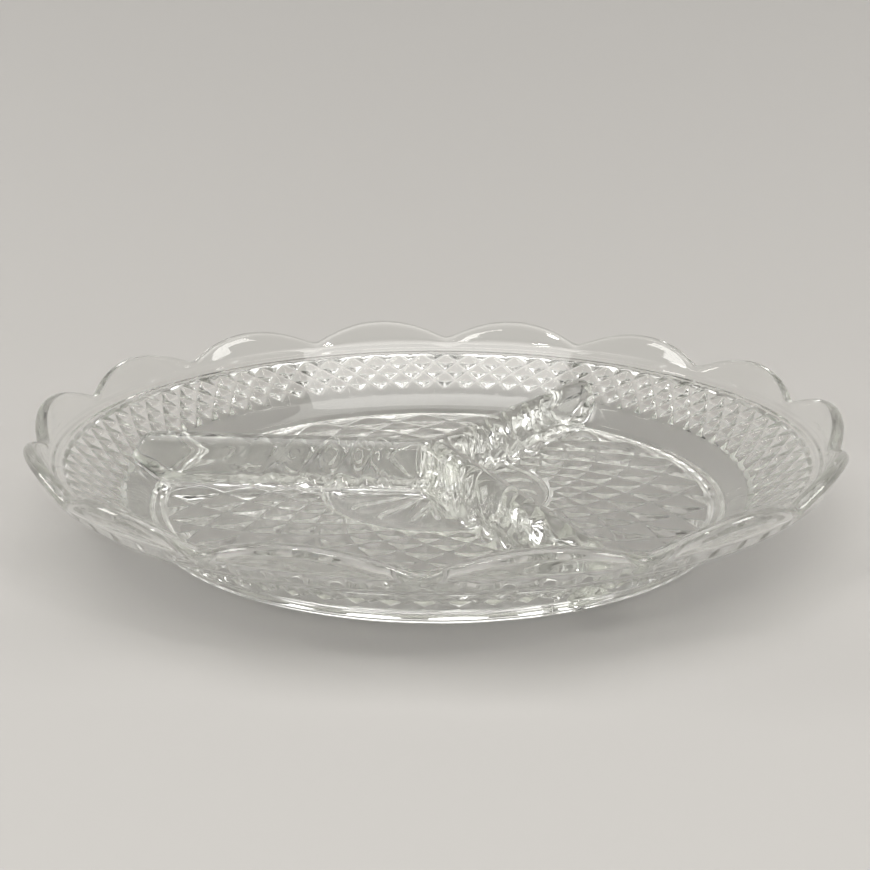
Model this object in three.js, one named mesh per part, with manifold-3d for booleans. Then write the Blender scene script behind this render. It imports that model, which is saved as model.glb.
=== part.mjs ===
// A round serving dish of clear pressed glass, with a scalloped rim and three compartments.
// Millimetres, +Z up. The origin is the centre of the foot, on the surface that the dish stands on.
// The real dish is one pressing. It is laid out here by its natural regions, which meet each other
// on shared rings of points, so that each region is a simple solid with a name.

import * as THREE from "three";
import { mergeVertices } from "three/addons/utils/BufferGeometryUtils.js";
import Module from "manifold-3d";

const wasm = await Module();
wasm.setup();

// Overall sizes
const OVERALL_DIAMETER = 216;
const OVERALL_HEIGHT = 28.8;

// Foot and floor
const FOOT_HEIGHT = 0.8;
const FOOT_TOP_WIDTH = 3.2;
const FOOT_FLAT_WIDTH = 1.8;
const HEEL_RUN = 3.5;
const HEEL_SLANT = 0.6;
const FLOOR_THICKNESS = 3.4;
const FLOOR_CORNER_RADIUS = 12;

// Side wall and rim, measured from the section through the dish's axis
const WALL_RUN = 27.5;
const WALL_THICKNESS = 3.6;
const RIM_RUN = 3.3;
const RIM_RISE = 6.3;
const LIP_RADIUS = 1.7;
const SCALLOPS = 14;
const SCALLOP_DEPTH = 6.1;
const SCALLOP_TURN = 93.5;
const COLLAR_SHARE = 0.35;

// Band of raised diamonds round the outside of the side wall
const BAND_DIAMONDS = 75;
const BAND_HALF_ROWS = 4;
const BAND_HALF_ROW = 4;
const BAND_TOP_MARGIN = 5.6;
const BAND_RELIEF = 1.5;

// Lattice of diamonds and the fluted medallion, both under the floor
const LATTICE_DIAMONDS = 24;
const LATTICE_HALF_ROWS = 7;
const LATTICE_MARGIN = 0.5;
const LATTICE_TURN = 1.5;
const LATTICE_RELIEF = 1.3;
const MEDALLION_RADIUS = 30.2;
const RING_LINE_RADIUS = 30.8;
const RING_LINE_HEIGHT = 0.35;
const PETALS = 16;
const PETAL_TURN = -2;
const PETAL_INNER_RADIUS = 8;
const PETAL_OUTER_RADIUS = 27.5;
const PETAL_RELIEF = 1;
const PETAL_WIDTH_SHARE = 0.75;
const PETAL_SWELL = 1.6;

// Dividers
const DIVIDERS = [
  { name: "rear_right_divider", azimuth: 60 },
  { name: "left_divider", azimuth: 180 },
  { name: "front_right_divider", azimuth: 300 },
];
const DIVIDER_HEIGHT = 13.8;
const DIVIDER_CROWN_WIDTH = 8;
const DIVIDER_BASE_WIDTH = 9.6;
const DIVIDER_FILLET = 2.2;
const DIVIDER_END_INSET = 22;
const DIVIDER_NOSE = 7;
const HUB_RADIUS = 11;
const JOIN_GAP = 0.3;

// How finely the curves are cut into flats
const COLUMNS_PER_SCALLOP = 16;
const COLUMNS_PER_PETAL = 8;
const PETAL_STEPS = 10;
const LIP_STEPS = 6;
const CORNER_STEPS = 6;
const CORNER_SPLIT_STEP = 2;
const CROWN_STEPS = 6;
const FILLET_STEPS = 4;
const NOSE_STEPS = 7;
const PLUG_COLUMNS = 60;
const FLOOR_TINT = 0xe6e8e0;
const FOOT_TINT = 0xdfe3dc;
const WALL_TINT = 0xe2e4da;
const RIM_TINT = 0xe9ebe4;
const DIVIDER_TINT = 0xdcded0;

// Heights and radii that follow from the sizes above. A point of the section is [radius, height].
const floorTop = FOOT_HEIGHT + FLOOR_THICKNESS;
const rimTip = [OVERALL_DIAMETER / 2 - LIP_RADIUS, OVERALL_HEIGHT - LIP_RADIUS];
const bendMiddle = [rimTip[0] - RIM_RUN, rimTip[1] - RIM_RISE];
const floorRadius = bendMiddle[0] - WALL_RUN;
const heelRadius = floorRadius + HEEL_RUN;
const footOuter = heelRadius - HEEL_SLANT;
const footInner = footOuter - FOOT_TOP_WIDTH;
const latticeOuter = footInner - LATTICE_MARGIN;
const ringLineOuter = 2 * RING_LINE_RADIUS - MEDALLION_RADIUS;
const latticeInner = ringLineOuter + LATTICE_MARGIN;

const slopeOf = (low, high) => Math.atan2(high[1] - low[1], high[0] - low[0]);

// Moves a point to the right of a line that climbs outwards at this slope, or on along the line
const sideways = (point, slope, distance) => [
  point[0] + distance * Math.sin(slope),
  point[1] - distance * Math.cos(slope),
];
const along = (point, slope, distance) => [
  point[0] + distance * Math.cos(slope),
  point[1] + distance * Math.sin(slope),
];
const onLine = (low, high, radius) => [
  radius,
  low[1] + (radius - low[0]) * Math.tan(slopeOf(low, high)),
];

// The two faces of the side wall run from the floor to the bend below the rim
const rimSlope = slopeOf(bendMiddle, rimTip);
const innerFoot = [floorRadius, floorTop];
const bendSlope = (slopeOf(innerFoot, bendMiddle) + rimSlope) / 2;
const bendInner = sideways(bendMiddle, bendSlope, -WALL_THICKNESS / 2);
const bendOuter = sideways(bendMiddle, bendSlope, WALL_THICKNESS / 2);
const wallSlope = slopeOf(innerFoot, bendInner);
const outerFoot = sideways(innerFoot, wallSlope, WALL_THICKNESS);
const heelTop = onLine(outerFoot, bendOuter, heelRadius);

// The rounded corner between the flat floor and the inner face of the wall. The floor plate holds
// its first stretch, as far out as the foot's inner edge, and the side wall holds the rest.
const cornerStart = floorRadius - FLOOR_CORNER_RADIUS * Math.tan(wallSlope / 2);
const cornerSplit = Math.asin((footInner - cornerStart) / FLOOR_CORNER_RADIUS);
function floorCorner(from, to, steps) {
  const points = [];
  for (let k = 0; k <= steps; k += 1) {
    const angle = from + ((to - from) * k) / steps;
    points.push([
      cornerStart + FLOOR_CORNER_RADIUS * Math.sin(angle),
      floorTop + FLOOR_CORNER_RADIUS * (1 - Math.cos(angle)),
    ]);
  }
  return points;
}

// A ring is a loop of points round the axis. place(index, azimuth) gives each point's section place.
function ring(count, place, turn = 0) {
  const points = [];
  for (let i = 0; i < count; i += 1) {
    const azimuth = THREE.MathUtils.degToRad(turn) + (2 * Math.PI * i) / count;
    const [radius, height] = place(i, azimuth);
    points.push(
      new THREE.Vector3(radius * Math.cos(azimuth), radius * Math.sin(azimuth), height),
    );
  }
  return points;
}
const plainRing = (count, point, turn = 0) => ring(count, () => point, turn);
const pole = (height) => [new THREE.Vector3(0, 0, height)];

// Fills the strip between two rings with triangles. Rings with the same count make one square for
// each column, cut along the diagonal that crossesAt(column) chooses. Others are laced together.
function strip(lower, upper, crossesAt) {
  const [a, b] = [lower.points, upper.points];
  const [n, m] = [a.length, b.length];
  const triangles = [];
  if (n === m && n > 1) {
    for (let i = 0; i < n; i += 1) {
      const next = (i + 1) % n;
      if (crossesAt && crossesAt(i)) {
        triangles.push([a[i], a[next], b[next]], [a[i], b[next], b[i]]);
      } else {
        triangles.push([a[i], a[next], b[i]], [a[next], b[next], b[i]]);
      }
    }
    return triangles;
  }
  const stepsA = n > 1 ? n : 0;
  const stepsB = m > 1 ? m : 0;
  let i = 0;
  let j = 0;
  while (i < stepsA || j < stepsB) {
    const takeA = j >= stepsB || (i < stepsA && (i + 1) / n <= (j + 1) / m);
    if (takeA) {
      triangles.push([a[i % n], a[(i + 1) % n], b[j % m]]);
      i += 1;
    } else {
      triangles.push([a[i % n], b[(j + 1) % m], b[j % m]]);
      j += 1;
    }
  }
  return triangles;
}

// A closed solid from a list of loops. An open list starts and ends on a pole, a closed one joins
// its last loop to its first. Seen in section, the list runs anticlockwise.
function solidOfLoops(loops, closed) {
  const rows = loops.map((loop) => (Array.isArray(loop) ? { points: loop } : loop));
  const positions = [];
  const last = closed ? rows.length : rows.length - 1;
  for (let k = 0; k < last; k += 1) {
    for (const triangle of strip(rows[k], rows[(k + 1) % rows.length], rows[k].crossesAt)) {
      for (const corner of triangle) {
        positions.push(corner.x, corner.y, corner.z);
      }
    }
  }
  const geometry = new THREE.BufferGeometry();
  geometry.setAttribute("position", new THREE.Float32BufferAttribute(positions, 3));
  return mergeVertices(geometry, 1e-4);
}

// A lattice row: even places are raised apexes, odd places are the crossings of the grooves. The
// squares are cut along their groove diagonals, which leaves a flat-sided point on each diamond.
function latticeRow(count, row, place, relief, direction, turn) {
  const points = ring(
    count,
    (i) => {
      const [radius, height] = place;
      const sunk = (i + row) % 2 === 0 ? 0 : relief;
      return [radius + sunk * direction[0], height + sunk * direction[1]];
    },
    turn,
  );
  return { points, crossesAt: (i) => (i + row) % 2 !== 0 };
}

// Foot: a low ring with a narrow flat to stand on
function footRing() {
  const middle = (footInner + footOuter) / 2;
  const section = [
    [middle - FOOT_FLAT_WIDTH / 2, 0],
    [middle + FOOT_FLAT_WIDTH / 2, 0],
    [footOuter, FOOT_HEIGHT],
    [footInner, FOOT_HEIGHT],
  ];
  return solidOfLoops(
    section.map((point) => plainRing(BAND_DIAMONDS, point)),
    true,
  );
}

// Floor plate: flat above, with the lattice pressed into its underside
function floorPlate() {
  const columns = LATTICE_DIAMONDS * 2;
  const ratio = latticeInner / latticeOuter;
  const loops = [plainRing(columns, [MEDALLION_RADIUS, FOOT_HEIGHT])];
  loops.push(plainRing(columns, [RING_LINE_RADIUS, FOOT_HEIGHT - RING_LINE_HEIGHT]));
  loops.push(plainRing(columns, [ringLineOuter, FOOT_HEIGHT], LATTICE_TURN));
  for (let row = LATTICE_HALF_ROWS; row >= 0; row -= 1) {
    const place = [latticeOuter * ratio ** (row / LATTICE_HALF_ROWS), FOOT_HEIGHT];
    loops.push(latticeRow(columns, row, place, LATTICE_RELIEF, [0, 1], LATTICE_TURN));
  }
  loops.push(plainRing(BAND_DIAMONDS, [footInner, FOOT_HEIGHT]));
  for (const point of floorCorner(0, cornerSplit, CORNER_SPLIT_STEP).reverse()) {
    loops.push(plainRing(BAND_DIAMONDS, point));
  }
  loops.push(plainRing(columns, [MEDALLION_RADIUS, floorTop]));
  return solidOfLoops(loops, true);
}

// Medallion: the middle of the floor, with teardrop petals sunk into its underside
function centreMedallion() {
  const columns = LATTICE_DIAMONDS * 2;
  const fine = PETALS * COLUMNS_PER_PETAL;
  const petalDepth = (radius, azimuth) => {
    const share = (radius - PETAL_INNER_RADIUS) / (PETAL_OUTER_RADIUS - PETAL_INNER_RADIUS);
    const turn = THREE.MathUtils.degToRad(PETAL_TURN);
    const pitch = (2 * Math.PI) / PETALS;
    const phase = (azimuth - turn) / pitch;
    const offset = Math.abs(phase - Math.round(phase)) * 2;
    const across = Math.max(0, 1 - (offset / PETAL_WIDTH_SHARE) ** 2);
    const swell = Math.sin(Math.PI * Math.min(1, Math.max(0, share)) ** PETAL_SWELL);
    return PETAL_RELIEF * across * swell;
  };
  const loops = [pole(FOOT_HEIGHT)];
  for (let k = 0; k <= PETAL_STEPS; k += 1) {
    const radius = PETAL_INNER_RADIUS
      + ((PETAL_OUTER_RADIUS - PETAL_INNER_RADIUS) * k) / PETAL_STEPS;
    loops.push(
      ring(
        fine,
        (i, azimuth) => [radius, FOOT_HEIGHT + petalDepth(radius, azimuth)],
        PETAL_TURN,
      ),
    );
  }
  loops.push(plainRing(columns, [MEDALLION_RADIUS, FOOT_HEIGHT]));
  loops.push(plainRing(columns, [MEDALLION_RADIUS, floorTop]));
  loops.push(pole(floorTop));
  return solidOfLoops(loops, false);
}

// Side wall: smooth inside, with the heel over the foot and the band of diamonds outside
function sideWall() {
  const columns = BAND_DIAMONDS * 2;
  const inwards = [-Math.sin(wallSlope), Math.cos(wallSlope)];
  const top = along(bendOuter, wallSlope, -BAND_TOP_MARGIN);
  const loops = [
    plainRing(BAND_DIAMONDS, [footInner, FOOT_HEIGHT]),
    plainRing(BAND_DIAMONDS, [footOuter, FOOT_HEIGHT]),
    plainRing(BAND_DIAMONDS, heelTop),
  ];
  for (let row = BAND_HALF_ROWS; row >= 0; row -= 1) {
    const place = along(top, wallSlope, -row * BAND_HALF_ROW);
    loops.push(latticeRow(columns, row, place, BAND_RELIEF, inwards, 0));
  }
  loops.push(plainRing(BAND_DIAMONDS, bendOuter));
  loops.push(plainRing(BAND_DIAMONDS, bendInner));
  const rest = CORNER_STEPS - CORNER_SPLIT_STEP;
  for (const point of floorCorner(cornerSplit, wallSlope, rest).reverse()) {
    loops.push(plainRing(BAND_DIAMONDS, point));
  }
  return solidOfLoops(loops, true);
}

// Rim: a plain collar, steeper than the wall, whose rounded lip rises and falls in scallops
function scallopedRim() {
  const columns = SCALLOPS * COLUMNS_PER_SCALLOP;
  const full = Math.hypot(RIM_RUN, RIM_RISE);
  const lengthAt = (azimuth) => {
    const turned = azimuth - THREE.MathUtils.degToRad(SCALLOP_TURN);
    const phase = (turned * SCALLOPS) / (2 * Math.PI);
    const half = Math.abs(phase - Math.floor(phase) - 0.5) * 2;
    return full - SCALLOP_DEPTH * half ** 2;
  };
  const start = LIP_RADIUS * Math.tan(rimSlope - bendSlope);
  const collar = (side) => ring(
    columns,
    (i, azimuth) => {
      const distance = start + (lengthAt(azimuth) - start) * COLLAR_SHARE;
      const middle = along(bendMiddle, rimSlope, distance);
      return sideways(middle, rimSlope, side);
    },
    SCALLOP_TURN - 90,
  );
  const lip = (angle) => ring(
    columns,
    (i, azimuth) => {
      const middle = along(bendMiddle, rimSlope, lengthAt(azimuth));
      const out = along(middle, rimSlope, LIP_RADIUS * Math.sin(angle));
      return sideways(out, rimSlope, LIP_RADIUS * Math.cos(angle));
    },
    SCALLOP_TURN - 90,
  );
  const loops = [plainRing(BAND_DIAMONDS, bendOuter), collar(LIP_RADIUS)];
  for (let k = 0; k <= LIP_STEPS; k += 1) {
    loops.push(lip((Math.PI * k) / LIP_STEPS));
  }
  loops.push(collar(-LIP_RADIUS), plainRing(BAND_DIAMONDS, bendInner));
  return solidOfLoops(loops, true);
}

const toSolid = (geometry) => new wasm.Manifold(
  new wasm.Mesh({
    numProp: 3,
    vertProperties: geometry.attributes.position.array,
    triVerts: new Uint32Array(geometry.index.array),
  }),
);

function toGeometry(solid) {
  const mesh = solid.getMesh();
  const geometry = new THREE.BufferGeometry();
  geometry.setAttribute("position", new THREE.BufferAttribute(mesh.vertProperties, 3));
  geometry.setIndex(new THREE.BufferAttribute(mesh.triVerts, 1));
  return geometry;
}

// The open space of the dish, from the floor up, kept a small gap clear of the sloping wall
function openSpace() {
  const corner = floorCorner(0, wallSlope, CORNER_STEPS);
  const loops = [pole(floorTop), plainRing(BAND_DIAMONDS, [corner[0][0] - JOIN_GAP, floorTop])];
  for (const [radius, height] of [...corner, bendInner]) {
    loops.push(plainRing(BAND_DIAMONDS, [radius, height + JOIN_GAP]));
  }
  loops.push(plainRing(BAND_DIAMONDS, [bendInner[0], OVERALL_HEIGHT + DIVIDER_HEIGHT]));
  loops.push(pole(OVERALL_HEIGHT + DIVIDER_HEIGHT));
  return toSolid(solidOfLoops(loops, false));
}

// One divider's blank: a rounded bar along +X from the middle, with a rounded nose at its outer end
function dividerBlank() {
  const crown = DIVIDER_CROWN_WIDTH / 2;
  const base = DIVIDER_BASE_WIDTH / 2;
  const half = [[0, DIVIDER_HEIGHT]];
  for (let k = 1; k <= CROWN_STEPS; k += 1) {
    const angle = (Math.PI / 2) * (1 - k / CROWN_STEPS);
    half.push([crown * Math.cos(angle), DIVIDER_HEIGHT - crown * (1 - Math.sin(angle))]);
  }
  for (let k = 0; k <= FILLET_STEPS; k += 1) {
    const angle = (Math.PI / 2) * (k / FILLET_STEPS);
    half.push([
      base + DIVIDER_FILLET * (1 - Math.cos(angle)),
      DIVIDER_FILLET * (1 - Math.sin(angle)),
    ]);
  }
  half.push([base + DIVIDER_FILLET, -FLOOR_THICKNESS / 2]);
  const section = [...half.slice(1).map(([y, z]) => [-y, z]), ...half.slice().reverse()];
  const start = bendInner[0] - DIVIDER_END_INSET;
  const at = (x, scale) => section.map(
    ([y, z]) => new THREE.Vector3(x, y * scale, floorTop + (z > 0 ? z * scale : z)),
  );
  const loops = [[new THREE.Vector3(0, 0, floorTop + DIVIDER_HEIGHT / 2)], at(0, 1), at(start, 1)];
  for (let k = 1; k < NOSE_STEPS; k += 1) {
    const angle = (Math.PI / 2) * (k / NOSE_STEPS);
    loops.push(at(start + DIVIDER_NOSE * Math.sin(angle), Math.cos(angle)));
  }
  loops.push([new THREE.Vector3(start + DIVIDER_NOSE, 0, floorTop)]);
  return toSolid(solidOfLoops(loops, false));
}

// A plain upright plug round the axis, used to part the dividers from their hub
function plug(radius) {
  const top = OVERALL_HEIGHT + DIVIDER_HEIGHT;
  return toSolid(
    solidOfLoops(
      [
        pole(-OVERALL_HEIGHT),
        plainRing(PLUG_COLUMNS, [radius, -OVERALL_HEIGHT]),
        plainRing(PLUG_COLUMNS, [radius, top]),
        pole(top),
      ],
      false,
    ),
  );
}

const clearGlass = (tint) => new THREE.MeshStandardMaterial({
  color: tint,
  roughness: 0.05,
  metalness: 0,
  transparent: true,
  opacity: 0.45,
});

const dish = new THREE.Group();

function addPiece(name, geometry, tint) {
  const mesh = new THREE.Mesh(geometry, clearGlass(tint));
  mesh.name = name;
  dish.add(mesh);
}

addPiece("foot_ring", footRing(), FOOT_TINT);
addPiece("floor_plate", floorPlate(), FLOOR_TINT);
addPiece("centre_medallion", centreMedallion(), FLOOR_TINT);
addPiece("side_wall", sideWall(), WALL_TINT);
addPiece("scalloped_rim", scallopedRim(), RIM_TINT);

const space = openSpace();
const blanks = DIVIDERS.map(({ azimuth }) => dividerBlank().rotate([0, 0, azimuth]));
for (const [index, { name }] of DIVIDERS.entries()) {
  const piece = blanks[index].intersect(space).subtract(plug(HUB_RADIUS + JOIN_GAP));
  addPiece(name, toGeometry(piece), DIVIDER_TINT);
}
const joined = blanks[0].add(blanks[1]).add(blanks[2]);
const hub = joined.intersect(space).intersect(plug(HUB_RADIUS));
addPiece("divider_hub", toGeometry(hub), DIVIDER_TINT);

export default dish;
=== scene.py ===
"""A round serving dish of clear pressed glass with three compartments, on a pale studio floor.

The whole dish is one pressing, so it is made as one closed sheet of glass. The blank is built here
ring by ring, with its dividers on top. A Geometry Nodes rule then presses in the band of diamonds,
the lattice under the floor and the petals of the medallion. Sizes are in millimetres.
"""

import math

import bpy
import numpy as np
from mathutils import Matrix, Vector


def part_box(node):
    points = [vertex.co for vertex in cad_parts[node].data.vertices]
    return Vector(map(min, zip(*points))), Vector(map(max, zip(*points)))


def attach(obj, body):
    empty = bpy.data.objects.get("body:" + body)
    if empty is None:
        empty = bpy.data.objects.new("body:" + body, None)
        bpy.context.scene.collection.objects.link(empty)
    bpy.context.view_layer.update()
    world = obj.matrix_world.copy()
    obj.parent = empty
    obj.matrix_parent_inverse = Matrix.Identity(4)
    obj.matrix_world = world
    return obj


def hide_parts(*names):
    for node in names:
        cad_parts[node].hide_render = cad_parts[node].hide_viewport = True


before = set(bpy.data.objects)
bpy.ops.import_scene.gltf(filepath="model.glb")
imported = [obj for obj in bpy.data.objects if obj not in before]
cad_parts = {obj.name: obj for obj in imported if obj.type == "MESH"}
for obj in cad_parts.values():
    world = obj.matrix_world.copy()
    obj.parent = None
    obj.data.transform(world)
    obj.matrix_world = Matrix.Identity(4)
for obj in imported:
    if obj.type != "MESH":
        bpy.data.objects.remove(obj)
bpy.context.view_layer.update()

MM = 0.001
FULL_TURN = 2 * math.pi

# ---------------------------------------------------------------- sizes taken from the frame


def node_reach(node):
    """A node's outer radius and its lowest and highest height, in millimetres."""
    low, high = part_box(node)
    radius = max(-low[0], -low[1], high[0], high[1])
    return radius / MM, low[2] / MM, high[2] / MM


_, _, DISH_HEIGHT = node_reach("scalloped_rim")
FOOT_OUTER, _, FOOT_HEIGHT = node_reach("foot_ring")
MEDALLION_RADIUS, _, FLOOR_TOP = node_reach("centre_medallion")
_, _, DIVIDER_TOP = node_reach("left_divider")

# ---------------------------------------------------------------- sizes of the blank

FOOT_WIDTH = 3.2
FOOT_EDGE = 0.7
HEEL_SLANT = 0.6
HEEL_RUN = 3.5
CORNER_RADIUS = 12.0
WALL_THICKNESS = 3.6
WALL_RUN = 27.5
RIM_RUN = 3.3
RIM_RISE = 6.3
LIP_RADIUS = 1.7
INNER_BEND = 1.9
OUTER_BEND = 1.2
RIM_BEAD_HEIGHT = 0.35
RIM_BEAD_WIDTH = 2.6
RIM_BEAD_PLACE = 0.62

SCALLOPS = 14
SCALLOP_DEPTH = 6.1
SCALLOP_TURN = math.radians(93.5)
VALLEY_SOFTNESS = 0.08

DIVIDER_AZIMUTHS = (60.0, 180.0, 300.0)
DIVIDER_CROWN = 4.0
DIVIDER_BASE = 4.8
DIVIDER_FILLET = 2.2
DIVIDER_START_OF_NOSE = 79.7
DIVIDER_NOSE = 7.0
DIVIDER_SPREAD = 9.0
LEAST_FILLET_SHARE = 0.25
LANDING_BEYOND_FILLET = 0.9
WALL_BLEND = 1.2
WALL_BLEND_HEIGHT = 3.0
HUB_FILLET = 3.0
HUB_FAN = math.radians(50)

# ---------------------------------------------------------------- sizes of the pressed patterns

BAND_DIAMONDS = 75
BAND_ROWS = 4
BAND_ROW = 4.0
BAND_MARGIN = 5.6
BAND_EDGE = 0.3
BAND_RELIEF = 1.5
BAND_FINENESS = 6

LATTICE_DIAMONDS = 24
LATTICE_ROWS = 7
LATTICE_MARGIN = 0.5
LATTICE_EDGE = 0.25
LATTICE_TURN = math.radians(1.5)
LATTICE_RELIEF = 1.3
LATTICE_FINENESS = 6

BAND_PATTERN = 1.0
LATTICE_PATTERN = 2.0
PETAL_PATTERN = 3.0

RING_LINE_HALF = 0.6
RING_LINE_HEIGHT = 0.35

PETALS = 16
PETAL_TURN = math.radians(-2)
PETAL_INNER = 8.0
PETAL_OUTER = 27.5
PETAL_WIDEST = 0.74
PETAL_SHARE = 0.86
PETAL_RELIEF = 1.0
PETAL_EDGE = 0.7
PETAL_FINENESS = 20

# ---------------------------------------------------------------- how finely the blank is laid out

RIM_COLUMNS = 448
FOOT_COLUMNS = 300
OPEN_COLUMNS = 96
HUB_MIDDLE = (0.8, 2.9, 0.7)
HUB_FORK = (3.0, 11.8, 0.42)
FLOOR_RADII = (12.4, 14, 17, 22, 30, 40, 50, 58, 64, 68, 70.6)
CORNER_RINGS = 7
WALL_STEP = 1.4
NOSE_STEP = 0.5
CROWN_ANGLES = (0, 14, 28, 42, 56, 70, 82)
FILLET_ANGLES = (25, 40, 55, 70, 90)
SIDE_COLUMNS = 4
LIP_RINGS = 11
LINE_RINGS = 7
PETAL_RINGS = 34
COLLAR_SHARES = (0.2, 0.4, 0.6, 0.8)

# ---------------------------------------------------------------- the section of the dish


def slope_of(low, high):
    """The angle at which a line climbs from its lower to its higher end."""
    return math.atan2(high[1] - low[1], high[0] - low[0])


def along(point, slope, distance):
    """The point this far up a line with this slope."""
    return (point[0] + distance * math.cos(slope), point[1] + distance * math.sin(slope))


def sideways(point, slope, distance):
    """To the right of a line that climbs outwards, which is the outside of the dish."""
    return (point[0] + distance * math.sin(slope), point[1] - distance * math.cos(slope))


foot_inner = FOOT_OUTER - FOOT_WIDTH
heel_radius = FOOT_OUTER + HEEL_SLANT
floor_radius = heel_radius - HEEL_RUN
rim_tip = (floor_radius + WALL_RUN + RIM_RUN, DISH_HEIGHT - LIP_RADIUS)
bend_middle = (rim_tip[0] - RIM_RUN, rim_tip[1] - RIM_RISE)
rim_slope = slope_of(bend_middle, rim_tip)
inner_foot = (floor_radius, FLOOR_TOP)
bend_slope = (slope_of(inner_foot, bend_middle) + rim_slope) / 2
bend_inner = sideways(bend_middle, bend_slope, -WALL_THICKNESS / 2)
bend_outer = sideways(bend_middle, bend_slope, WALL_THICKNESS / 2)
wall_slope = slope_of(inner_foot, bend_inner)
corner_start = floor_radius - CORNER_RADIUS * math.tan(wall_slope / 2)
corner_end = corner_start + CORNER_RADIUS * math.sin(wall_slope)
rim_length = math.hypot(RIM_RUN, RIM_RISE)


def bowl_height(radius):
    """The height of the plain inside of the dish over its floor, as far out as the bend."""
    arc = CORNER_RADIUS - np.sqrt(
        np.maximum(CORNER_RADIUS**2 - np.clip(radius - corner_start, 0, None) ** 2, 0)
    )
    wall = (radius - floor_radius) * math.tan(wall_slope)
    return np.where(radius < corner_start, 0.0, np.where(radius < corner_end, arc, wall))


def scallop_length(azimuth):
    """How far the collar runs up from the bend, which is less in the valleys of the scallops."""
    phase = (azimuth - SCALLOP_TURN) * SCALLOPS / FULL_TURN
    half = np.abs(phase - np.floor(phase) - 0.5) * 2
    half = 1 - np.sqrt((1 - half) ** 2 + VALLEY_SOFTNESS**2) + VALLEY_SOFTNESS * half
    return rim_length - SCALLOP_DEPTH * half**2


# ---------------------------------------------------------------- the dividers


def soft_least(first, second, reach):
    """The smaller of the two, rounded over where they come within reach of each other."""
    near = np.clip(reach - np.abs(first - second), 0, None) / reach
    return np.minimum(first, second) - near**2 * reach / 4


def divider_section(offset, ground):
    """A divider's height at this distance from its centre line, with a fillet where it lands."""
    height = DIVIDER_TOP - FLOOR_TOP
    shoulder = height - DIVIDER_CROWN
    draft = (DIVIDER_BASE - DIVIDER_CROWN) / (shoulder - DIVIDER_FILLET)
    room = (height - ground) / (2 * DIVIDER_FILLET)
    fillet = DIVIDER_FILLET * np.clip(room, LEAST_FILLET_SHARE, 1)
    landing = DIVIDER_CROWN + (shoulder - ground - fillet) * draft
    offset = np.clip(offset, 0, None)
    crown = shoulder + np.sqrt(np.clip(DIVIDER_CROWN**2 - offset**2, 0, None))
    side = shoulder - (offset - DIVIDER_CROWN) / draft
    gap = np.clip(landing + fillet - offset, 0, fillet)
    foot = ground + fillet - np.sqrt(np.clip(fillet**2 - gap**2, 0, None))
    made = np.where(offset < DIVIDER_CROWN, crown, np.where(offset < landing, side, foot))
    return np.maximum(made, ground)


def inside_height(radius, azimuth):
    """The height of the inside of the dish over its floor, dividers included."""
    ground = bowl_height(radius)
    x = radius * np.cos(azimuth)
    y = radius * np.sin(azimuth)
    nearest = None
    reach_out = np.zeros_like(x)
    for degrees in DIVIDER_AZIMUTHS:
        turn = math.radians(degrees)
        forward = x * math.cos(turn) + y * math.sin(turn)
        across = np.abs(y * math.cos(turn) - x * math.sin(turn))
        distance = np.where(forward > 0, across, np.hypot(x, y))
        nearest = distance if nearest is None else soft_least(nearest, distance, HUB_FILLET)
        reach_out = np.maximum(reach_out, forward)
    share = np.clip((reach_out - DIVIDER_START_OF_NOSE) / DIVIDER_NOSE, 0, 1)
    scale = np.sqrt(np.clip(1 - share**2, 1e-4, 1))
    raised = scale * divider_section(nearest / scale, ground / scale)
    on_wall = np.clip(ground / WALL_BLEND_HEIGHT, 0, 1)
    reach = 0.01 + WALL_BLEND * on_wall
    near = np.clip(reach - np.abs(raised - ground), 0, None) / reach
    near = np.where(nearest > DIVIDER_SPREAD, 0, near)
    return np.maximum(raised, ground) + near**2 * reach / 4 * on_wall


def divider_offsets():
    """How far from a divider's centre line its columns of points stand."""
    crown = DIVIDER_CROWN * np.sin(np.radians(CROWN_ANGLES))
    side = np.linspace(DIVIDER_CROWN + 0.05, DIVIDER_BASE, SIDE_COLUMNS)
    fillet = DIVIDER_BASE + DIVIDER_FILLET * (1 - np.cos(np.radians(FILLET_ANGLES)))
    spread = [DIVIDER_BASE + DIVIDER_FILLET + LANDING_BEYOND_FILLET, DIVIDER_SPREAD]
    half = np.concatenate([crown, side, fillet, spread])
    return np.concatenate([-half[:0:-1], half])


def divider_columns(radius):
    """The azimuths of one ring of the inside: close beside each divider, even in between."""
    offsets = divider_offsets()
    fan_radius = DIVIDER_SPREAD / math.sin(HUB_FAN)
    beside = np.arcsin(offsets / max(radius, fan_radius))
    columns = []
    for degrees in DIVIDER_AZIMUTHS:
        turn = math.radians(degrees)
        columns.append(turn + beside)
        start = turn + beside[-1]
        end = turn + FULL_TURN / len(DIVIDER_AZIMUTHS) + beside[0]
        columns.append(np.linspace(start, end, OPEN_COLUMNS + 2)[1:-1])
    return np.concatenate(columns)


# ---------------------------------------------------------------- rings and strips of the shell


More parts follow.
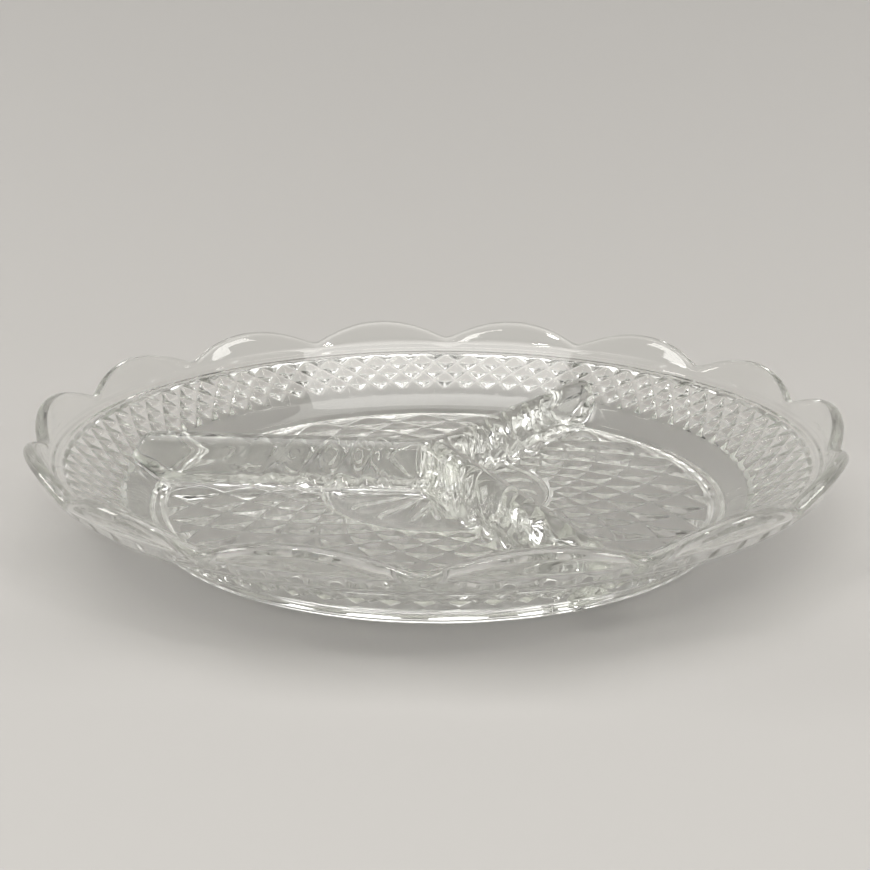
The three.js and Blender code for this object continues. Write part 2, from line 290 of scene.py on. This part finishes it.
class Shell:
    """A closed sheet made of rings of points. Each ring runs once round the dish.

    The marks tell the pressing rule which pattern a point belongs to, and which way it is pressed.
    """

    def __init__(self):
        self.points = []
        self.rings = []
        self.triangles = []
        self.marks = {"press": [], "band_row": [], "lattice_row": [], "petal": [], "pattern": []}
        self.total = 0

    def add_ring(self, radius, height, azimuth, press=(0, 0), cut=None, **marks):
        count = len(azimuth)
        radius = np.broadcast_to(radius, count)
        height = np.broadcast_to(height, count)
        self.points.append(
            np.stack([radius * np.cos(azimuth), radius * np.sin(azimuth), height], 1)
        )
        self.marks["press"].append(
            np.stack(
                [press[0] * np.cos(azimuth), press[0] * np.sin(azimuth), press[1] + 0 * azimuth],
                1,
            )
        )
        for name in ("band_row", "lattice_row", "petal", "pattern"):
            self.marks[name].append(np.broadcast_to(marks.get(name, 0.0), count))
        ring = (self.total + np.arange(count), azimuth)
        self.total += count
        if self.rings:
            self.join(self.rings[-1], ring, cut)
        self.rings.append(ring)

    def join(self, first, second, cut):
        """Closes the strip between two rings. Where cut is true, its diagonal runs the other way."""
        (a, a_turn), (b, b_turn) = first, second
        n, m = len(a), len(b)
        if n == 1:
            self.triangles.append(np.stack([np.repeat(a, m), b, np.roll(b, -1)], 1))
        elif m == 1:
            self.triangles.append(np.stack([a, np.repeat(b, n), np.roll(a, -1)], 1))
        elif n == m and np.max(np.abs(a_turn - b_turn)) < FULL_TURN / n:
            a_next, b_next = np.roll(a, -1), np.roll(b, -1)
            crossed = np.zeros(n, bool) if cut is None else cut
            first_half = np.where(
                crossed[:, None],
                np.stack([a, b, a_next], 1),
                np.stack([a, b, b_next], 1),
            )
            second_half = np.where(
                crossed[:, None],
                np.stack([a_next, b, b_next], 1),
                np.stack([a, b_next, a_next], 1),
            )
            self.triangles += [first_half, second_half]
        else:
            self.lace(first, second)

    def lace(self, first, second):
        """Joins two rings with different columns, always by the shorter way across."""
        (a, a_turn), (b, b_turn) = first, second
        n, m = len(a), len(b)
        shift = int(np.argmin(np.abs((b_turn - a_turn[0] + math.pi) % FULL_TURN - math.pi)))
        b = np.roll(b, -shift)
        b_turn = np.roll(b_turn, -shift)
        a_from = (a_turn - a_turn[0]) % FULL_TURN
        b_from = (b_turn - a_turn[0] + math.pi) % FULL_TURN - math.pi
        b_from = np.where(np.arange(m) < m / 4, b_from, b_from % FULL_TURN)
        a_from = np.append(a_from, FULL_TURN)
        b_from = np.append(b_from, b_from[0] + FULL_TURN)
        i = j = 0
        made = []
        while i < n or j < m:
            if j >= m or (i < n and a_from[i + 1] <= b_from[j + 1]):
                made.append((a[i % n], b[j % m], a[(i + 1) % n]))
                i += 1
            else:
                made.append((a[i % n], b[j % m], b[(j + 1) % m]))
                j += 1
        self.triangles.append(np.array(made))

    def mesh(self, name):
        mesh = bpy.data.meshes.new(name)
        faces = np.concatenate(self.triangles)
        points = np.concatenate(self.points) * MM
        mesh.vertices.add(len(points))
        mesh.vertices.foreach_set("co", points.ravel())
        mesh.loops.add(faces.size)
        mesh.loops.foreach_set("vertex_index", faces.ravel())
        mesh.polygons.add(len(faces))
        mesh.polygons.foreach_set("loop_start", np.arange(0, faces.size, 3))
        mesh.polygons.foreach_set("use_smooth", np.ones(len(faces), bool))
        for mark, parts in self.marks.items():
            values = np.concatenate(parts)
            kind, key = ("FLOAT_VECTOR", "vector") if mark == "press" else ("FLOAT", "value")
            mesh.attributes.new(mark, kind, "POINT").data.foreach_set(key, values.ravel())
        mesh.update(calc_edges=True)
        return mesh


def even_turns(count, turn=0.0):
    """Evenly spaced azimuths for one ring."""
    return turn + FULL_TURN * np.arange(count) / count


def curve_through(start, corner, end, steps):
    """Points of a smooth bend that leaves and reaches its two straights without a corner."""
    points = []
    for t in np.linspace(0, 1, steps + 1):
        weights = ((1 - t) ** 2, 2 * t * (1 - t), t**2)
        points.append(tuple(
            weights[0] * a + weights[1] * b + weights[2] * c
            for a, b, c in zip(start, corner, end)
        ))
    return points


# ---------------------------------------------------------------- laying out the blank


def add_inside(shell):
    """The pole, the hub, the dividers and the bowl, as far out as the bend."""
    shell.add_ring(0.0, DIVIDER_TOP, np.zeros(1))
    radii = np.concatenate([
        np.arange(*HUB_MIDDLE),
        np.arange(*HUB_FORK),
        np.array(FLOOR_RADII),
        np.linspace(corner_start, corner_end, CORNER_RINGS),
        np.arange(corner_end + 1.2, DIVIDER_START_OF_NOSE - 0.6, WALL_STEP),
        np.arange(
            DIVIDER_START_OF_NOSE, DIVIDER_START_OF_NOSE + DIVIDER_NOSE + NOSE_STEP, NOSE_STEP
        ),
    ])
    for radius in radii:
        azimuth = divider_columns(radius)
        shell.add_ring(radius, FLOOR_TOP + inside_height(radius, azimuth), azimuth)


def add_rim(shell):
    """Up the inside of the scalloped collar, over its rounded lip and down the outside."""
    azimuth = even_turns(RIM_COLUMNS, SCALLOP_TURN)
    length = scallop_length(azimuth)
    start = along(bend_inner, wall_slope, -INNER_BEND)
    end = along(bend_inner, bend_slope, 0.1)
    for radius, height in curve_through(start, along(bend_inner, wall_slope, -0.5), end, 5):
        shell.add_ring(radius, height, azimuth)

    mitre = LIP_RADIUS * math.tan(rim_slope - bend_slope)

    def collar(share, side):
        distance = mitre + (length - mitre) * share
        half = side * (WALL_THICKNESS / 2 + (LIP_RADIUS - WALL_THICKNESS / 2) * share)
        middle = along(bend_middle, rim_slope, distance)
        radius, height = sideways(middle, rim_slope, half)
        shell.add_ring(radius, height, azimuth)

    for share in COLLAR_SHARES:
        collar(share, -1)
    for angle in np.linspace(math.pi, 0, LIP_RINGS):
        middle = along(bend_middle, rim_slope, length + LIP_RADIUS * math.sin(angle))
        radius, height = sideways(middle, rim_slope, LIP_RADIUS * math.cos(angle))
        shell.add_ring(radius, height, azimuth)
    for share in reversed(COLLAR_SHARES):
        collar(share, 1)


def add_outside(shell):
    """Down the outer face of the wall, with the band of diamonds, to the heel."""
    inwards = (-math.sin(wall_slope), math.cos(wall_slope))
    columns = BAND_DIAMONDS * 2 * BAND_FINENESS
    azimuth = even_turns(columns)
    start = along(bend_outer, bend_slope, 0.1)
    end = along(bend_outer, wall_slope, -OUTER_BEND)
    for radius, height in curve_through(start, bend_outer, end, 3):
        shell.add_ring(radius, height, azimuth)
    top = along(bend_outer, wall_slope, -BAND_MARGIN)
    bead = along(top, wall_slope, (BAND_MARGIN - OUTER_BEND) * RIM_BEAD_PLACE)
    for share in np.linspace(1, -1, LINE_RINGS):
        point = along(bead, wall_slope, share * RIM_BEAD_WIDTH / 2)
        swell = RIM_BEAD_HEIGHT * math.cos(share * math.pi / 2) ** 2
        radius, height = sideways(point, wall_slope, swell)
        shell.add_ring(radius, height, azimuth)
    shell.add_ring(*along(top, wall_slope, BAND_EDGE), azimuth)
    for step in range(BAND_ROWS * BAND_FINENESS + 1):
        row = step / BAND_FINENESS
        radius, height = along(top, wall_slope, -row * BAND_ROW)
        whole = np.arange(columns) // BAND_FINENESS + (step - 1) // BAND_FINENESS
        cut = whole % 2 == 0
        shell.add_ring(
            radius, height, azimuth, inwards, cut if step else None, band_row=row, pattern=BAND_PATTERN
        )
    bottom = along(top, wall_slope, -BAND_ROWS * BAND_ROW - BAND_EDGE)
    shell.add_ring(*bottom, azimuth)
    outer_foot = sideways(inner_foot, wall_slope, WALL_THICKNESS)
    heel = (heel_radius, outer_foot[1] + (heel_radius - outer_foot[0]) * math.tan(wall_slope))
    azimuth = even_turns(FOOT_COLUMNS)
    for share in (0.2, 0.5, 0.8):
        shell.add_ring(
            bottom[0] + (heel[0] - bottom[0]) * share,
            bottom[1] + (heel[1] - bottom[1]) * share,
            azimuth,
        )
    above = along(heel, wall_slope, 0.8)
    below = (FOOT_OUTER + 0.1, FOOT_HEIGHT + 0.3)
    for radius, height in curve_through(above, heel, below, 3):
        shell.add_ring(radius, height, azimuth)


def add_foot(shell):
    """The low foot ring, with its edges rounded and a narrow flat to stand on."""
    azimuth = even_turns(FOOT_COLUMNS)
    outer_edge = curve_through(
        (FOOT_OUTER, FOOT_HEIGHT), (FOOT_OUTER - 0.1, 0), (FOOT_OUTER - FOOT_EDGE, 0), 4
    )
    inner_edge = curve_through(
        (foot_inner + FOOT_EDGE, 0), (foot_inner + 0.1, 0), (foot_inner, FOOT_HEIGHT), 4
    )
    for radius, height in outer_edge + inner_edge:
        shell.add_ring(radius, height, azimuth)


def add_underside(shell):
    """The lattice, the thin ring line and the medallion, in to the pole."""
    up = (0, 1)
    columns = LATTICE_DIAMONDS * 2 * LATTICE_FINENESS
    azimuth = even_turns(columns, LATTICE_TURN)
    outer = foot_inner - LATTICE_MARGIN
    ring_outer = MEDALLION_RADIUS + 2 * RING_LINE_HALF
    inner = ring_outer + LATTICE_MARGIN
    shell.add_ring(outer + LATTICE_EDGE, FOOT_HEIGHT, azimuth)
    for step in range(LATTICE_ROWS * LATTICE_FINENESS + 1):
        row = step / LATTICE_FINENESS
        radius = outer * (inner / outer) ** (row / LATTICE_ROWS)
        whole = np.arange(columns) // LATTICE_FINENESS + (step - 1) // LATTICE_FINENESS
        cut = whole % 2 == 0
        shell.add_ring(
            radius,
            FOOT_HEIGHT,
            azimuth,
            up,
            cut if step else None,
            lattice_row=row,
            pattern=LATTICE_PATTERN,
        )
    for share in np.linspace(1, -1, LINE_RINGS):
        shell.add_ring(
            MEDALLION_RADIUS + RING_LINE_HALF * (1 + share),
            FOOT_HEIGHT - RING_LINE_HEIGHT * math.cos(share * math.pi / 2),
            azimuth,
        )
    pitch = FULL_TURN / PETALS
    steps = np.arange(-PETAL_FINENESS // 2, PETAL_FINENESS // 2) / (PETAL_FINENESS // 2)
    edge = PETAL_EDGE
    for radius in np.linspace(PETAL_OUTER + 0.8, PETAL_INNER - 0.6, PETAL_RINGS):
        share = np.clip((radius - PETAL_INNER) / (PETAL_OUTER - PETAL_INNER), 0, 1)
        if share < PETAL_WIDEST:
            width = math.sin(math.pi / 2 * share / PETAL_WIDEST)
        else:
            width = math.sqrt(1 - ((share - PETAL_WIDEST) / (1 - PETAL_WIDEST)) ** 2)
        half = max(PETAL_SHARE * width, 0.1)
        across = np.interp(steps, (-1, -edge, edge, 1), (-1, -half, half, 1))
        cut_depth = np.clip(1 - (steps / edge) ** 2, 0, 1) * width**0.8
        turns = (np.arange(PETALS)[:, None] + across[None, :] / 2).ravel() * pitch + PETAL_TURN
        depth = np.tile(cut_depth, PETALS)
        shell.add_ring(radius, FOOT_HEIGHT, turns, up, petal=depth, pattern=PETAL_PATTERN)
    azimuth = even_turns(PETALS * 4, PETAL_TURN)
    for radius in (6.0, 4.0, 2.0):
        shell.add_ring(radius, FOOT_HEIGHT, azimuth)
    shell.add_ring(0.0, FOOT_HEIGHT, np.zeros(1))


# ---------------------------------------------------------------- the pressing rule


class Sums:
    """Adds Math nodes to a tree and hands back their results."""

    def __init__(self, tree):
        self.tree = tree

    def __call__(self, operation, *values):
        node = self.tree.nodes.new("ShaderNodeMath")
        node.operation = operation
        for socket, value in zip(node.inputs, values):
            if isinstance(value, (int, float)):
                socket.default_value = value
            else:
                self.tree.links.new(value, socket)
        return node.outputs[0]


def pressing_rule(inputs):
    """Sinks the grooves between the diamonds, and the petals, into the blank."""
    tree = bpy.data.node_groups.new("pressing_rule", "GeometryNodeTree")
    tree.interface.new_socket("Blank", in_out="INPUT", socket_type="NodeSocketGeometry")
    sockets = {}
    for name, value in inputs.items():
        kind = "NodeSocketMaterial" if name == "Glass" else "NodeSocketFloat"
        sockets[name] = tree.interface.new_socket(name, in_out="INPUT", socket_type=kind)
    tree.interface.new_socket("Pressed", in_out="OUTPUT", socket_type="NodeSocketGeometry")
    nodes, links = tree.nodes, tree.links
    given = nodes.new("NodeGroupInput").outputs
    result = nodes.new("NodeGroupOutput")
    sums = Sums(tree)

    def mark(name, kind="FLOAT"):
        node = nodes.new("GeometryNodeInputNamedAttribute")
        node.data_type = kind
        node.inputs["Name"].default_value = name
        return node.outputs["Attribute"]

    place = nodes.new("ShaderNodeSeparateXYZ")
    links.new(nodes.new("GeometryNodeInputPosition").outputs[0], place.inputs[0])
    azimuth = sums("ARCTAN2", place.outputs["Y"], place.outputs["X"])

    def diamonds(row, around, turn):
        """0 on the grooves and 1 on the points of the diamonds."""
        column = sums("MULTIPLY", sums("SUBTRACT", azimuth, turn), sums("DIVIDE", around, math.pi))
        from_groove = []
        for operation in ("ADD", "SUBTRACT"):
            line = sums("MULTIPLY", sums(operation, column, row), 0.5)
            off = sums("ABSOLUTE", sums("SUBTRACT", line, sums("ROUND", line)))
            rise = sums("SUBTRACT", 0.5, off)
            soft = sums("SQRT", sums("ADD", sums("POWER", rise, 2.0),
                                     sums("POWER", given["Groove softness"], 2.0)))
            from_groove.append(sums("SUBTRACT", soft, given["Groove softness"]))
        least = sums("SMOOTH_MIN", *from_groove, given["Ridge softness"])
        return sums("MULTIPLY", least, 2.0)

    def chosen(number):
        return sums("COMPARE", mark("pattern"), number, 0.5)

    band = sums("SUBTRACT", 1.0, diamonds(mark("band_row"), given["Band diamonds"], 0.0))
    lattice = sums(
        "SUBTRACT",
        1.0,
        diamonds(mark("lattice_row"), given["Lattice diamonds"], given["Lattice turn"]),
    )
    depth = sums("MULTIPLY", sums("MULTIPLY", band, given["Band relief"]), chosen(BAND_PATTERN))
    sunk = sums("MULTIPLY", lattice, given["Lattice relief"])
    depth = sums("ADD", depth, sums("MULTIPLY", sunk, chosen(LATTICE_PATTERN)))
    depth = sums("ADD", depth, sums("MULTIPLY", mark("petal"), given["Petal relief"]))

    offset = nodes.new("ShaderNodeVectorMath")
    offset.operation = "SCALE"
    links.new(mark("press", "FLOAT_VECTOR"), offset.inputs[0])
    links.new(depth, offset.inputs["Scale"])
    pressed = nodes.new("GeometryNodeSetPosition")
    links.new(given["Blank"], pressed.inputs["Geometry"])
    links.new(offset.outputs[0], pressed.inputs["Offset"])
    realized = nodes.new("GeometryNodeRealizeInstances")
    links.new(pressed.outputs[0], realized.inputs[0])
    finished = nodes.new("GeometryNodeSetMaterial")
    links.new(realized.outputs[0], finished.inputs["Geometry"])
    links.new(given["Glass"], finished.inputs["Material"])
    links.new(finished.outputs[0], result.inputs[0])
    return tree, sockets


# ---------------------------------------------------------------- finishes


HANDLED_SCALE = 42
RIPPLE_SCALE = 60
RIPPLE_HEIGHT = 0.00004


def pressed_glass():
    """Clear soda glass: faintly green in the thick, with the slow ripples of a pressed surface."""
    material = bpy.data.materials.new("pressed_glass")
    material.use_nodes = True
    nodes, links = material.node_tree.nodes, material.node_tree.links
    shader = nodes["Principled BSDF"]
    shader.inputs["Base Color"].default_value = (0.985, 0.99, 0.98, 1)
    shader.inputs["Transmission Weight"].default_value = 1
    shader.inputs["IOR"].default_value = 1.52
    place = nodes.new("ShaderNodeTexCoord")

    def noise(scale, detail):
        node = nodes.new("ShaderNodeTexNoise")
        node.inputs["Scale"].default_value = scale
        node.inputs["Detail"].default_value = detail
        links.new(place.outputs["Object"], node.inputs["Vector"])
        return node.outputs["Fac"]

    handled = nodes.new("ShaderNodeMapRange")
    handled.inputs["From Min"].default_value = 0.45
    handled.inputs["From Max"].default_value = 0.75
    handled.inputs["To Min"].default_value = 0.0
    handled.inputs["To Max"].default_value = 0.06
    links.new(noise(HANDLED_SCALE, 4), handled.inputs["Value"])
    links.new(handled.outputs["Result"], shader.inputs["Roughness"])
    ripple = nodes.new("ShaderNodeBump")
    ripple.inputs["Strength"].default_value = 1
    ripple.inputs["Distance"].default_value = RIPPLE_HEIGHT
    links.new(noise(RIPPLE_SCALE, 1), ripple.inputs["Height"])
    links.new(ripple.outputs["Normal"], shader.inputs["Normal"])
    depth = nodes.new("ShaderNodeVolumeAbsorption")
    depth.inputs["Color"].default_value = (0.80, 0.85, 0.68, 1)
    depth.inputs["Density"].default_value = 3.5
    links.new(depth.outputs[0], nodes["Material Output"].inputs["Volume"])
    return material


def studio_paper():
    """Pale matt paper, with nothing on it."""
    material = bpy.data.materials.new("studio_paper")
    material.use_nodes = True
    shader = material.node_tree.nodes["Principled BSDF"]
    shader.inputs["Base Color"].default_value = (0.46, 0.45, 0.435, 1)
    shader.inputs["Roughness"].default_value = 0.7
    return material


# ---------------------------------------------------------------- making the dish

GROOVE_SOFTNESS = 0.05
RIDGE_SOFTNESS = 0.04

glass = pressed_glass()
shell = Shell()
add_inside(shell)
add_rim(shell)
add_outside(shell)
add_foot(shell)
add_underside(shell)
blank = bpy.data.objects.new("blank", shell.mesh("blank"))
bpy.context.scene.collection.objects.link(blank)

inputs = {
    "Band diamonds": float(BAND_DIAMONDS),
    "Band relief": BAND_RELIEF * MM,
    "Lattice diamonds": float(LATTICE_DIAMONDS),
    "Lattice turn": LATTICE_TURN,
    "Lattice relief": LATTICE_RELIEF * MM,
    "Petal relief": PETAL_RELIEF * MM,
    "Groove softness": GROOVE_SOFTNESS,
    "Ridge softness": RIDGE_SOFTNESS,
    "Glass": glass,
}
tree, sockets = pressing_rule(inputs)
pressing = blank.modifiers.new("pressing", "NODES")
pressing.node_group = tree
for name, value in inputs.items():
    pressing[sockets[name].identifier] = value
evaluated = blank.evaluated_get(bpy.context.evaluated_depsgraph_get())
pressed = bpy.data.meshes.new_from_object(evaluated)
blank.modifiers.clear()
for name in list(shell.marks):
    pressed.attributes.remove(pressed.attributes[name])
dish = bpy.data.objects.new("pressed_glass_dish", pressed)
bpy.context.scene.collection.objects.link(dish)
bpy.data.objects.remove(blank)

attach(dish, "root")
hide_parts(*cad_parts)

# ---------------------------------------------------------------- floor, light and camera

CAMERA_AZIMUTH = 5.3
CAMERA_ELEVATION = 20.16
CAMERA_DISTANCE = 0.3526
CAMERA_DIP = 17.17
CAMERA_AIM = 0.1
CAMERA_LENS = 52.34

LAMP_COLOUR = (1, 0.985, 0.96)
SKY_EDGE = 0.62
SKY_FULL = 0.98
SKY_STRENGTH = 3.0
ROOM_STRENGTH = 0.05

FLOOR_WIDTH = 30.0
FLOOR_FRONT = -15.0
SWEEP_STEPS = 16
SWEEP_START = 0.16
FLOOR_GAP = 0.0001
SWEEP_RADIUS = 0.6
SWEEP_HEIGHT = 2.4


def studio_floor():
    """A pale sheet of paper that runs back from the dish and curves up behind it."""
    line = [(FLOOR_FRONT, -FLOOR_GAP), (SWEEP_START, -FLOOR_GAP)]
    for step in range(1, SWEEP_STEPS + 1):
        angle = math.pi / 2 * step / SWEEP_STEPS
        line.append((
            SWEEP_START + SWEEP_RADIUS * math.sin(angle),
            SWEEP_RADIUS * (1 - math.cos(angle)) - FLOOR_GAP,
        ))
    line.append((SWEEP_START + SWEEP_RADIUS, SWEEP_HEIGHT))
    turn = math.radians(CAMERA_AZIMUTH)
    points = []
    for side in (-FLOOR_WIDTH / 2, FLOOR_WIDTH / 2):
        for depth, height in line:
            points.append((
                side * math.cos(turn) - depth * math.sin(turn),
                side * math.sin(turn) + depth * math.cos(turn),
                height,
            ))
    count = len(line)
    faces = [(k, k + count, k + count + 1, k + 1) for k in range(count - 1)]
    mesh = bpy.data.meshes.new("studio_floor")
    mesh.from_pydata(points, [], faces)
    mesh.polygons.foreach_set("use_smooth", [True] * len(faces))
    mesh.materials.append(studio_paper())
    floor = bpy.data.objects.new("studio_floor", mesh)
    bpy.context.scene.collection.objects.link(floor)
    return floor


def round_the_dish(azimuth, elevation, distance):
    """A point at this distance from the middle of the dish. Azimuth 0 is in front of it."""
    a, e = math.radians(azimuth), math.radians(elevation)
    return (
        distance * math.sin(a) * math.cos(e),
        -distance * math.cos(a) * math.cos(e),
        distance * math.sin(e),
    )


studio_floor()

camera_data = bpy.data.cameras.new("camera")
camera_data.lens = CAMERA_LENS
camera_data.sensor_width = 36
camera_data.clip_start = 0.01
camera = bpy.data.objects.new("camera", camera_data)
camera.location = round_the_dish(CAMERA_AZIMUTH, CAMERA_ELEVATION, CAMERA_DISTANCE)
camera.rotation_euler = (
    math.radians(90 - CAMERA_DIP),
    0,
    math.radians(CAMERA_AZIMUTH + CAMERA_AIM),
)
bpy.context.scene.collection.objects.link(camera)
bpy.context.scene.camera = camera

# Each lamp: name, azimuth, elevation, distance, width, depth, watts
LAMPS = (
    ("front_lamp", 350, 40, 1.2, 0.30, 0.06, 1.2),
    ("front_left_lamp", 318, 52, 1.2, 0.05, 0.20, 1.0),
    ("front_right_lamp", 52, 46, 1.2, 0.05, 0.16, 1.0),
    ("left_panel", 276, 22, 1.1, 0.34, 0.34, 3.2),
    ("right_panel", 84, 24, 1.1, 0.34, 0.34, 3.2),
    ("back_lamp", 178, 24, 1.2, 0.60, 0.06, 1.6),
)


def add_lamps():
    for name, azimuth, elevation, distance, width, depth, watts in LAMPS:
        data = bpy.data.lights.new(name, "AREA")
        data.shape = "RECTANGLE"
        data.size = width
        data.size_y = depth
        data.energy = watts
        data.color = LAMP_COLOUR
        lamp = bpy.data.objects.new(name, data)
        lamp.location = round_the_dish(azimuth, elevation, distance)
        lamp.rotation_euler = (
            math.radians(90 - elevation),
            0,
            math.radians(azimuth),
        )
        bpy.context.scene.collection.objects.link(lamp)


add_lamps()


def studio_sky():
    """A wide soft light overhead that fades to a dim room at the sides."""
    world = bpy.data.worlds.new("studio")
    world.use_nodes = True
    nodes, links = world.node_tree.nodes, world.node_tree.links
    background = nodes["Background"]
    place = nodes.new("ShaderNodeTexCoord")
    parts = nodes.new("ShaderNodeSeparateXYZ")
    links.new(place.outputs["Generated"], parts.inputs[0])
    fade = nodes.new("ShaderNodeMapRange")
    fade.interpolation_type = "SMOOTHSTEP"
    fade.inputs["From Min"].default_value = SKY_EDGE
    fade.inputs["From Max"].default_value = SKY_FULL
    fade.inputs["To Min"].default_value = ROOM_STRENGTH
    fade.inputs["To Max"].default_value = SKY_STRENGTH
    links.new(parts.outputs["Z"], fade.inputs["Value"])
    background.inputs["Color"].default_value = (*LAMP_COLOUR, 1)
    links.new(fade.outputs["Result"], background.inputs["Strength"])
    bpy.context.scene.world = world


studio_sky()

scene = bpy.context.scene
scene.cycles.max_bounces = 24
scene.cycles.transmission_bounces = 24
scene.cycles.glossy_bounces = 16
scene.view_settings.view_transform = "Standard"

bpy.context.view_layer.update()
